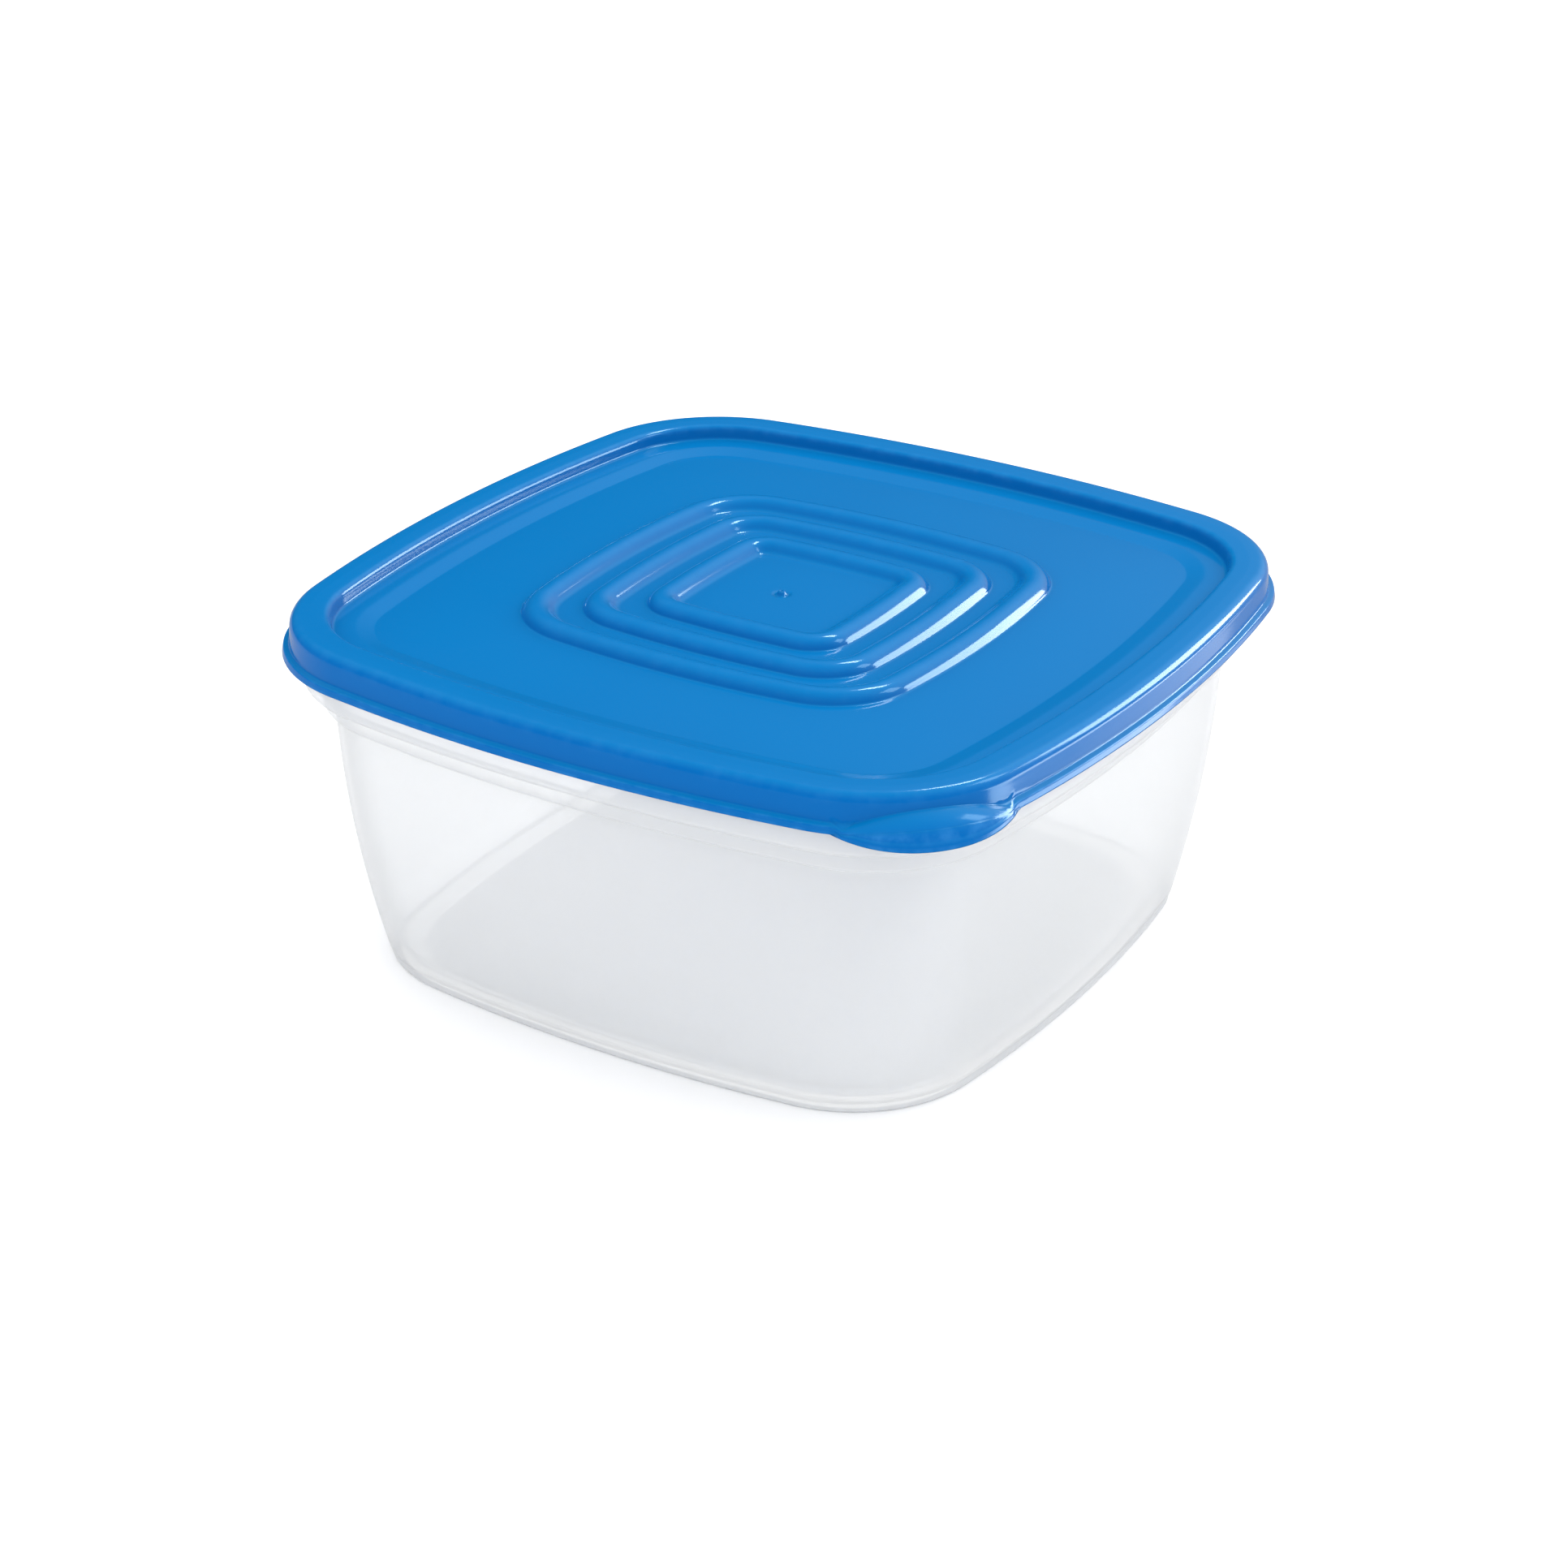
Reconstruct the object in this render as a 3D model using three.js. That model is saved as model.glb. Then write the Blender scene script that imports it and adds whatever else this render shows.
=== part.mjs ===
import * as THREE from "three";
import { mergeVertices } from "three/addons/utils/BufferGeometryUtils.js";

// A square food container in two moulded pieces: a translucent tub and a press-on lid with a thumb tab.
// Millimetres, +Z up. The origin is on the surface the tub stands on, under the middle of the tub.

// Outline of the lid's flange, seen from above: a square with bowed sides and round corners.
const lidHalf = 115;
const lidBow = 463;
const lidCorner = 46.2;

// Heights above the surface that the tub stands on.
const lidSeat = 91;
const floorTop = 2.8;
const footRecess = 1.2;

// Tub wall, from its foot to the lower step of the collar.
const footHalf = 93.4;
const footCorner = 38;
const footBow = 430;
const footRound = 2.6;
const footRingWidth = 7;
const wallTopDrop = 16.5;
const wallTopInset = 13.2;
const wallBulge = 0.94;
const wallThickness = 1.5;
const wallSteps = 7;
const floorRound = 6;

// Lid panel, its three raised ridges and the thumb tab.
const lidThickness = 1.2;
const panelInset = 24.5;
const panelEdgeHeight = 4.6;
const panelMiddleHeight = 5.8;
const ridgeHalves = [61, 46.4, 31.8];
const ridgeCorners = [25, 18, 12.5];
const ridgeBow = 300;
const ridgeWidth = 9.4;
const ridgeHeight = 2.9;
const tabCentre = 2.9;
const tabHalfWidth = 23.9;
const tabPower = 2.23;
const tabReach = 5.3;
const tabDrop = 2.1;

// Steps along each bowed side and round each corner.
const sideSteps = 4;
const cornerSteps = 10;
const turnSteps = 4 * (sideSteps + cornerSteps);

const tubMaterial = new THREE.MeshStandardMaterial({
  color: 0xe6e9ec,
  roughness: 0.35,
  metalness: 0,
  transparent: true,
  opacity: 0.6,
});
const lidMaterial = new THREE.MeshStandardMaterial({ color: 0x1f78c4, roughness: 0.2, metalness: 0 });

// A ring is one turn of the outline: its half size, side radius, corner radius and height.
function ring(half, bow, corner, z) {
  return { half, bow, corner, z };
}

// A ring that runs parallel to the flange, this far inside it and this far above its lower edge.
function insetRing(inset, rise) {
  return ring(lidHalf - inset, lidBow - inset, lidCorner - inset, lidSeat + rise);
}

// The ring closed to a point on the axis.
function poleRing(z) {
  return ring(0, 0, 0, z);
}

// Middle of the corner arc, equally far from both axes, where it meets the side arcs tangentially.
function cornerCentre({ half, bow, corner }) {
  const sideCentre = bow - half;
  const reach = bow - corner;
  return (-sideCentre + Math.sqrt(2 * reach * reach - sideCentre * sideCentre)) / 2;
}

// The point at this fraction of a turn, counted from the middle of the front side.
function outlinePoint(turn, shape) {
  if (shape.half === 0) {
    return new THREE.Vector2(0, 0);
  }
  const quarter = Math.floor(turn * 4 + 1e-9);
  const along = turn * 4 - quarter;
  const sideShare = sideSteps / 2 / (sideSteps + cornerSteps);
  const centre = cornerCentre(shape);
  const sideCentre = shape.half - shape.bow;
  const sideAngle = Math.atan2(centre, centre - sideCentre);
  const point = new THREE.Vector2();
  if (along < sideShare - 1e-9) {
    const angle = (sideAngle * along) / sideShare;
    point.set(sideCentre + shape.bow * Math.cos(angle), shape.bow * Math.sin(angle));
  } else if (along <= 1 - sideShare + 1e-9) {
    const share = (along - sideShare) / (1 - 2 * sideShare);
    const angle = sideAngle + share * (Math.PI / 2 - 2 * sideAngle);
    point.set(centre + shape.corner * Math.cos(angle), centre + shape.corner * Math.sin(angle));
  } else {
    const angle = (sideAngle * (1 - along)) / sideShare;
    point.set(shape.bow * Math.sin(angle), sideCentre + shape.bow * Math.cos(angle));
  }
  return point.rotateAround(new THREE.Vector2(0, 0), (quarter - 1) * (Math.PI / 2));
}

// A lathe of the profile, with each of its circles redrawn as the bowed square.
function bowedSolid(profile) {
  const circles = profile.map((shape) => new THREE.Vector2(shape.half, shape.z));
  const geometry = new THREE.LatheGeometry(circles, turnSteps);
  const position = geometry.getAttribute("position");
  for (let step = 0; step <= turnSteps; step += 1) {
    const turn = (step % turnSteps) / turnSteps;
    profile.forEach((shape, index) => {
      const place = outlinePoint(turn, shape);
      const pull = shape.tab ? tabPull(place) : 0;
      const out = place.clone().normalize().multiplyScalar(pull * tabReach * (shape.tab ?? 0));
      const z = shape.z - pull * tabDrop * (shape.tab ?? 0);
      position.setXYZ(step * profile.length + index, place.x + out.x, place.y + out.y, z);
    });
  }
  geometry.deleteAttribute("normal");
  geometry.deleteAttribute("uv");
  return mergeVertices(geometry, 1e-4);
}

// How far the thumb tab pulls a point outwards, from 0 to 1: a bulge a little off the middle of the front right corner.
function tabPull(place) {
  if (place.x < 0 || place.y > 0) {
    return 0;
  }
  const across = (place.x + place.y) / Math.SQRT2;
  const share = Math.min(1, Math.abs(across - tabCentre) / tabHalfWidth);
  return 1 - share ** tabPower;
}

// A ring of the tub's wall: share 0 is the foot and 1 is under the collar.
function wallRing(share, thickness) {
  const topHalf = lidHalf - wallTopInset;
  const bulged = 2 * share * (1 - share) * wallBulge + share * share;
  const blend = (low, high) => low + (high - low) * share;
  return ring(
    footHalf + (topHalf - footHalf) * bulged - thickness,
    blend(footBow, lidBow - wallTopInset) - thickness,
    blend(footCorner, lidCorner - wallTopInset) - thickness,
    share * (lidSeat - wallTopDrop),
  );
}

// The same ring drawn in by an inset, at a height of its own.
function shrunkRing(shape, inset, z) {
  return ring(shape.half - inset, shape.bow - inset, shape.corner - inset, z);
}

// Wall rings from one share of the height to another.
function wallRings(first, last, thickness) {
  const rings = [];
  for (let step = 0; step <= wallSteps; step += 1) {
    rings.push(wallRing(first + ((last - first) * step) / wallSteps, thickness));
  }
  return rings;
}

function makeTub() {
  const wallHeight = lidSeat - wallTopDrop;
  const foot = wallRing(0, 0);
  const innerFoot = wallRing(0, wallThickness);
  const profile = [
    poleRing(footRecess),
    shrunkRing(foot, footRound + footRingWidth + footRecess, footRecess),
    shrunkRing(foot, footRound + footRingWidth, 0),
    shrunkRing(foot, footRound, 0),
    shrunkRing(foot, 0.8, 0.8),
    ...wallRings(footRound / wallHeight, 1, 0),
    // Collar: two rounded steps under the lid, then the upright lip with its snap bead.
    insetRing(12.9, -15.6),
    insetRing(11, -13.9),
    insetRing(10.1, -11.6),
    insetRing(10, -9.4),
    insetRing(7.6, -8.3),
    insetRing(5.8, -6.2),
    insetRing(5, -3.4),
    insetRing(4.9, 4.8),
    insetRing(4.3, 5.9),
    insetRing(4.3, 7.5),
    insetRing(5, 8.3),
    insetRing(6.1, 8.3),
    insetRing(6.5, 7.6),
    insetRing(6.5, -3.4),
    insetRing(7.4, -5.7),
    insetRing(9.4, -7.9),
    insetRing(11.5, -9.6),
    insetRing(11.7, -12.4),
    insetRing(13, -14.4),
    ...wallRings((floorTop + floorRound) / wallHeight, 1, wallThickness).reverse(),
    shrunkRing(innerFoot, 1.2, floorTop + 2.2),
    shrunkRing(innerFoot, floorRound - 1, floorTop),
    poleRing(floorTop),
  ];
  return bowedSolid(profile);
}

// Height of the lid's panel at this half size: a slight dome.
function panelHeight(half) {
  const share = half / (lidHalf - panelInset);
  return panelMiddleHeight + (panelEdgeHeight - panelMiddleHeight) * share * share;
}

// One ridge from its outer foot to its inner foot, as a half ellipse; the underside is the same, thinner.
function ridgeRings(half, corner, shrink, drop, steps) {
  const rings = [];
  for (let step = 0; step <= steps; step += 1) {
    const angle = (Math.PI * step) / steps;
    const reach = ridgeWidth / 2 - shrink;
    const inset = ridgeWidth / 2 - reach * Math.cos(angle);
    const z = lidSeat + panelHeight(half - inset) + ridgeHeight * Math.sin(angle) - drop;
    rings.push(ring(half - inset, ridgeBow - inset, corner - inset, z));
  }
  return rings;
}

// All the ridges, from the outer one inwards.
function allRidges(shrink, drop, steps) {
  return ridgeHalves.flatMap((half, index) => ridgeRings(half, ridgeCorners[index], shrink, drop, steps));
}

function makeLid() {
  const top = [
    { ...insetRing(0, 0), tab: 1 },
    { ...insetRing(0.4, 1.7), tab: 1 },
    { ...insetRing(1.8, 2.8), tab: 0.55 },
    insetRing(2.2, 7),
    insetRing(2.9, 8.9),
    insetRing(4.6, 9.7),
    insetRing(8, 9.9),
    insetRing(11.2, 9.6),
    insetRing(12.6, 8.6),
    insetRing(13.3, 6.6),
    insetRing(14.3, 5.8),
    insetRing(19.5, 5.6),
    insetRing(panelInset, panelEdgeHeight),
    ...allRidges(0, 0, 4),
    poleRing(lidSeat + panelMiddleHeight),
  ];
  const underside = [
    poleRing(lidSeat + panelMiddleHeight - lidThickness),
    ...allRidges(0.9, lidThickness, 3).reverse(),
    insetRing(panelInset, panelEdgeHeight - lidThickness),
    insetRing(19.5, 5.6 - lidThickness),
    insetRing(13.6, 4.4),
    insetRing(12.3, 5),
    insetRing(11.6, 7.9),
    insetRing(10.6, 8.6),
    insetRing(5, 8.6),
    insetRing(3.7, 7.8),
    insetRing(3.5, 5),
    insetRing(3.9, 4),
    insetRing(3.9, 2.8),
    insetRing(3.2, 1.4),
    insetRing(2.6, 0),
  ];
  return bowedSolid([...underside, ...top]);
}

const group = new THREE.Group();
const pieces = [
  ["tub", makeTub(), tubMaterial],
  ["lid", makeLid(), lidMaterial],
];
pieces.forEach(([name, geometry, material]) => {
  const mesh = new THREE.Mesh(geometry, material);
  mesh.name = name;
  group.add(mesh);
});

export default group;
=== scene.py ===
import math

import bpy
import numpy as np
from mathutils import Matrix, Vector


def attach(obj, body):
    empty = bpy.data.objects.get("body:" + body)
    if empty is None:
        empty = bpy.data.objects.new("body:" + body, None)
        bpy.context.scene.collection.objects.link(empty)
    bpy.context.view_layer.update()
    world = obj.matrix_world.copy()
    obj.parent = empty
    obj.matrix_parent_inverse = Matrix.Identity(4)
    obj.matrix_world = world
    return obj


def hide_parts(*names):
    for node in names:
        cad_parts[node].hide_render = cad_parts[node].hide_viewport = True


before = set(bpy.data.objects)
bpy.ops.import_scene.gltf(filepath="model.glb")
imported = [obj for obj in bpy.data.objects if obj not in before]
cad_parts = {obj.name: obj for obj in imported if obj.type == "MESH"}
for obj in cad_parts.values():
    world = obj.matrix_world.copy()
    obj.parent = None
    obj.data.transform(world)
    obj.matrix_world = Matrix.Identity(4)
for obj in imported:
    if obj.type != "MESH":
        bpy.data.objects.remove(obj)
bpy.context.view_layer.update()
mm = 0.001

outline = {  # the lid's flange seen from above: a square with bowed sides and round corners, in mm
    "half": 115.0,
    "bow": 463.0,
    "corner": 46.2,
    "seat": 91.0,  # height of the flange's lower edge
}


def insetRing(inset, rise):
    # a turn of the outline this far inside the flange and this far above its lower edge
    sizes = tuple(outline[key] - inset for key in ("half", "bow", "corner"))
    return sizes + (outline["seat"] + rise,)


def cornerCentre(half, bow, corner):
    reach = bow - corner
    side = bow - half
    return (math.sqrt(2 * reach * reach - side * side) - side) / 2


def filletPath(corners, step, fit=0.49):
    # a run of (inset, rise, radius) corners as points, with each corner rounded and no gap longer
    # than step; fit is the share of the shorter neighbouring leg that a rounding may use up
    arcStep = math.radians(12)
    points = [np.array(corners[0][:2], float)]
    for before, here, after in zip(corners, corners[1:], corners[2:]):
        a, p, b = (np.array(c[:2], float) for c in (before, here, after))
        inward, outward = (a - p) / np.linalg.norm(a - p), (b - p) / np.linalg.norm(b - p)
        bend = math.pi - math.acos(np.clip(inward @ outward, -1, 1))
        room = fit * min(np.linalg.norm(a - p), np.linalg.norm(b - p))
        cut = min(here[2] * math.tan(bend / 2), room)
        radius = cut / max(math.tan(bend / 2), 1e-6)
        start, end = p + inward * cut, p + outward * cut
        points.append(start)
        count = max(2, math.ceil(bend / arcStep))
        if cut > 1e-3:
            bisector = (inward + outward) / np.linalg.norm(inward + outward)
            centre = p + bisector * math.hypot(cut, radius)
            first, last = start - centre, end - centre
            for k in range(1, count):
                share = k / count
                way = first * math.sin((1 - share) * bend) + last * math.sin(share * bend)
                points.append(centre + way / math.sin(bend))
        points.append(end)
    points.append(np.array(corners[-1][:2], float))
    filled = [points[0]]
    for a, b in zip(points, points[1:]):
        gap = np.linalg.norm(b - a)
        if gap < 1e-4:
            continue
        for k in range(1, math.ceil(gap / step) + 1):
            filled.append(a + (b - a) * k / math.ceil(gap / step))
    return filled


def calc(tree, operation, *values):
    # one Math node fed with sockets or plain numbers
    node = tree.nodes.new("ShaderNodeMath")
    node.operation = operation
    for slotIndex, value in enumerate(values):
        if isinstance(value, (int, float)):
            node.inputs[slotIndex].default_value = value
        else:
            tree.links.new(value, node.inputs[slotIndex])
    return node.outputs[0]


def choose(tree, share, low, high, first, second, third):
    # first below the low share, third above the high one, second between them
    picked = second
    for operation, limit, value in (("LESS_THAN", low, first), ("GREATER_THAN", high, third)):
        test = tree.nodes.new("FunctionNodeCompare")
        test.data_type = "FLOAT"
        test.operation = operation
        tree.links.new(share, test.inputs["A"])
        tree.links.new(limit, test.inputs["B"])
        switch = tree.nodes.new("GeometryNodeSwitch")
        switch.input_type = "FLOAT"
        tree.links.new(test.outputs["Result"], switch.inputs["Switch"])
        for side, source in (("False", picked), ("True", value)):
            if isinstance(source, (int, float)):
                switch.inputs[side].default_value = source
            else:
                tree.links.new(source, switch.inputs[side])
        picked = switch.outputs[0]
    return picked


def bowedTurnTree():
    # sweeps a profile, given as loose points with ring sizes, round a square with bowed sides
    # and round corners
    tree = bpy.data.node_groups.new("bowedTurn", "GeometryNodeTree")
    face = tree.interface
    face.new_socket("Profile", in_out="INPUT", socket_type="NodeSocketGeometry")
    for name, value in (("Side Steps", 36), ("Corner Steps", 40)):
        face.new_socket(name, in_out="INPUT", socket_type="NodeSocketInt").default_value = value
    face.new_socket("Finish", in_out="INPUT", socket_type="NodeSocketMaterial")
    face.new_socket("Moulding", in_out="OUTPUT", socket_type="NodeSocketGeometry")
    source = tree.nodes.new("NodeGroupInput")
    sink = tree.nodes.new("NodeGroupOutput")
    sideSteps, cornerSteps = source.outputs["Side Steps"], source.outputs["Corner Steps"]
    quarterSteps = calc(tree, "ADD", sideSteps, cornerSteps)

    domain = tree.nodes.new("GeometryNodeAttributeDomainSize")
    tree.links.new(source.outputs["Profile"], domain.inputs[0])
    grid = tree.nodes.new("GeometryNodeMeshGrid")
    grid.inputs["Size X"].default_value = 1
    grid.inputs["Size Y"].default_value = 1
    tree.links.new(calc(tree, "MULTIPLY_ADD", quarterSteps, 4, 1), grid.inputs["Vertices X"])
    tree.links.new(domain.outputs["Point Count"], grid.inputs["Vertices Y"])

    place = tree.nodes.new("GeometryNodeInputPosition")
    split = tree.nodes.new("ShaderNodeSeparateXYZ")
    tree.links.new(place.outputs[0], split.inputs[0])
    turn = calc(tree, "ADD", split.outputs["X"], 0.5)
    lastRing = calc(tree, "SUBTRACT", domain.outputs["Point Count"], 1)
    ringShare = calc(tree, "ADD", split.outputs["Y"], 0.5)
    ringIndex = calc(tree, "ROUND", calc(tree, "MULTIPLY", ringShare, lastRing))

    def ringValue(name):
        wanted = tree.nodes.new("GeometryNodeInputNamedAttribute")
        wanted.data_type = "FLOAT"
        wanted.inputs["Name"].default_value = name
        sample = tree.nodes.new("GeometryNodeSampleIndex")
        sample.data_type = "FLOAT"
        tree.links.new(source.outputs["Profile"], sample.inputs["Geometry"])
        tree.links.new(wanted.outputs["Attribute"], sample.inputs["Value"])
        tree.links.new(ringIndex, sample.inputs["Index"])
        return sample.outputs[0]

    half, bow, corner, height = (ringValue(name) for name in ("half", "bow", "corner", "height"))
    side = calc(tree, "SUBTRACT", bow, half)
    reach = calc(tree, "SUBTRACT", bow, corner)
    reachTwice = calc(tree, "MULTIPLY", calc(tree, "MULTIPLY", reach, reach), 2)
    under = calc(tree, "SUBTRACT", reachTwice, calc(tree, "MULTIPLY", side, side))
    centre = calc(tree, "MULTIPLY", calc(tree, "SUBTRACT", calc(tree, "SQRT", under), side), 0.5)
    sideAngle = calc(tree, "ARCTAN2", centre, calc(tree, "ADD", centre, side))

    quarters = calc(tree, "MULTIPLY", turn, 4)
    quarter = calc(tree, "FLOOR", calc(tree, "ADD", quarters, 1e-4))
    along = calc(tree, "SUBTRACT", quarters, quarter)
    sideShare = calc(tree, "DIVIDE", calc(tree, "MULTIPLY", sideSteps, 0.5), quarterSteps)
    farShare = calc(tree, "SUBTRACT", 1.0, sideShare)
    firstAngle = calc(tree, "MULTIPLY", sideAngle, calc(tree, "DIVIDE", along, sideShare))
    pastSide = calc(tree, "SUBTRACT", along, sideShare)
    cornerShare = calc(tree, "DIVIDE", pastSide, calc(tree, "SUBTRACT", farShare, sideShare))
    cornerSweep = calc(tree, "SUBTRACT", math.pi / 2, calc(tree, "MULTIPLY", sideAngle, 2))
    middleAngle = calc(tree, "MULTIPLY_ADD", cornerShare, cornerSweep, sideAngle)
    lastShare = calc(tree, "DIVIDE", calc(tree, "SUBTRACT", 1.0, along), sideShare)
    lastAngle = calc(tree, "SUBTRACT", math.pi / 2, calc(tree, "MULTIPLY", sideAngle, lastShare))
    backSide = calc(tree, "MULTIPLY", side, -1)
    parts = (along, sideShare, farShare)
    angle = choose(tree, *parts, firstAngle, middleAngle, lastAngle)
    centreX = choose(tree, *parts, backSide, centre, 0.0)
    centreY = choose(tree, *parts, 0.0, centre, backSide)
    radius = choose(tree, *parts, bow, corner, bow)

    quarterTurn = calc(tree, "MULTIPLY", calc(tree, "SUBTRACT", quarter, 1), math.pi / 2)
    cosine, sine = calc(tree, "COSINE", quarterTurn), calc(tree, "SINE", quarterTurn)
    localX = calc(tree, "MULTIPLY_ADD", radius, calc(tree, "COSINE", angle), centreX)
    localY = calc(tree, "MULTIPLY_ADD", radius, calc(tree, "SINE", angle), centreY)
    x = calc(tree, "SUBTRACT", calc(tree, "MULTIPLY", localX, cosine), calc(tree, "MULTIPLY", localY, sine))
    y = calc(tree, "ADD", calc(tree, "MULTIPLY", localX, sine), calc(tree, "MULTIPLY", localY, cosine))
    join = tree.nodes.new("ShaderNodeCombineXYZ")
    for value, name in ((x, "X"), (y, "Y"), (height, "Z")):
        tree.links.new(value, join.inputs[name])

    shaped = grid.outputs["Mesh"]
    for name, value in (("ringIndex", ringIndex), ("wear", ringValue("wear"))):
        store = tree.nodes.new("GeometryNodeStoreNamedAttribute")
        store.data_type = "FLOAT"
        store.domain = "POINT"
        store.inputs["Name"].default_value = name
        tree.links.new(shaped, store.inputs["Geometry"])
        tree.links.new(value, store.inputs["Value"])
        shaped = store.outputs["Geometry"]
    move = tree.nodes.new("GeometryNodeSetPosition")
    tree.links.new(shaped, move.inputs["Geometry"])
    tree.links.new(join.outputs[0], move.inputs["Position"])
    merge = tree.nodes.new("GeometryNodeMergeByDistance")
    merge.inputs["Distance"].default_value = 0.002 * mm
    tree.links.new(move.outputs[0], merge.inputs["Geometry"])
    realize = tree.nodes.new("GeometryNodeRealizeInstances")
    tree.links.new(merge.outputs[0], realize.inputs[0])
    paint = tree.nodes.new("GeometryNodeSetMaterial")
    tree.links.new(realize.outputs[0], paint.inputs["Geometry"])
    tree.links.new(source.outputs["Finish"], paint.inputs["Material"])
    tree.links.new(paint.outputs[0], sink.inputs["Moulding"])
    return tree


def profileWear(rings):
    # 1 where the profile turns sharply outwards, fading to 0 on flat runs; sizes in mm
    shortest, fullBend, blur = 0.15, 1.2, (0.15, 0.2, 0.3, 0.2, 0.15)
    points = np.array([(r[0], r[3]) for r in rings])
    wear = np.zeros(len(points))
    for k in range(1, len(points) - 1):
        before, after = points[k] - points[k - 1], points[k + 1] - points[k]
        turned = before[0] * after[1] - before[1] * after[0]
        bend = math.atan2(turned, before @ after)
        wear[k] = max(0.0, bend) / max(shortest, (np.linalg.norm(before) + np.linalg.norm(after)) / 2)
    return np.clip(np.convolve(wear, blur, "same") / fullBend, 0, 1)


def turnProfile(name, rings, tree, steps, material):
    # the profile as loose points, swept by the tree, then kept as a plain mesh
    points = bpy.data.meshes.new(name + "Profile")
    points.from_pydata([(0, 0, k * mm) for k in range(len(rings))], [], [])
    keys = ("half", "bow", "corner", "height")
    columns = {key: [ring[k] * mm for ring in rings] for k, key in enumerate(keys)}
    columns["wear"] = list(profileWear(rings))
    for key, values in columns.items():
        points.attributes.new(key, "FLOAT", "POINT").data.foreach_set("value", np.array(values, np.float32))
    carrier = bpy.data.objects.new(name + "Carrier", points)
    bpy.context.scene.collection.objects.link(carrier)
    modifier = carrier.modifiers.new("bowedTurn", "NODES")
    modifier.node_group = tree
    wanted = {"Side Steps": steps[0], "Corner Steps": steps[1], "Finish": material}
    for item in tree.interface.items_tree:
        if item.item_type == "SOCKET" and item.in_out == "INPUT" and item.name in wanted:
            modifier[item.identifier] = wanted[item.name]
    evaluated = carrier.evaluated_get(bpy.context.evaluated_depsgraph_get())
    mesh = bpy.data.meshes.new_from_object(evaluated)
    mesh.name = name
    carrier.modifiers.remove(modifier)
    bpy.data.objects.remove(carrier)
    bpy.data.meshes.remove(points)
    piece = bpy.data.objects.new(name, mesh)
    bpy.context.scene.collection.objects.link(piece)
    mesh.shade_smooth()
    return piece


def readPoints(mesh):
    flat = np.zeros(len(mesh.vertices) * 3, np.float32)
    mesh.vertices.foreach_get("co", flat)
    return flat.reshape(-1, 3).astype(float)


def writePoints(mesh, points):
    mesh.vertices.foreach_set("co", points.astype(np.float32).ravel())
    mesh.update()


def markSlopeShade(piece, low, high):
    # stores how far each point's skin leans from level, 0 up to the low share and 1 from the high one; this
    # share sets the painted shade on steep faces
    mesh = piece.data
    normals = np.zeros(len(mesh.vertices) * 3, np.float32)
    mesh.vertices.foreach_get("normal", normals)
    lean = np.clip((1 - np.abs(normals.reshape(-1, 3)[:, 2]) - low) / (high - low), 0, 1)
    mesh.attributes.new("slopeShade", "FLOAT", "POINT").data.foreach_set("value", lean.astype(np.float32))


def groupNode(tree, kind, **settings):
    node = tree.nodes.new(kind)
    for key, value in settings.items():
        setattr(node, key, value)
    return node


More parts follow.
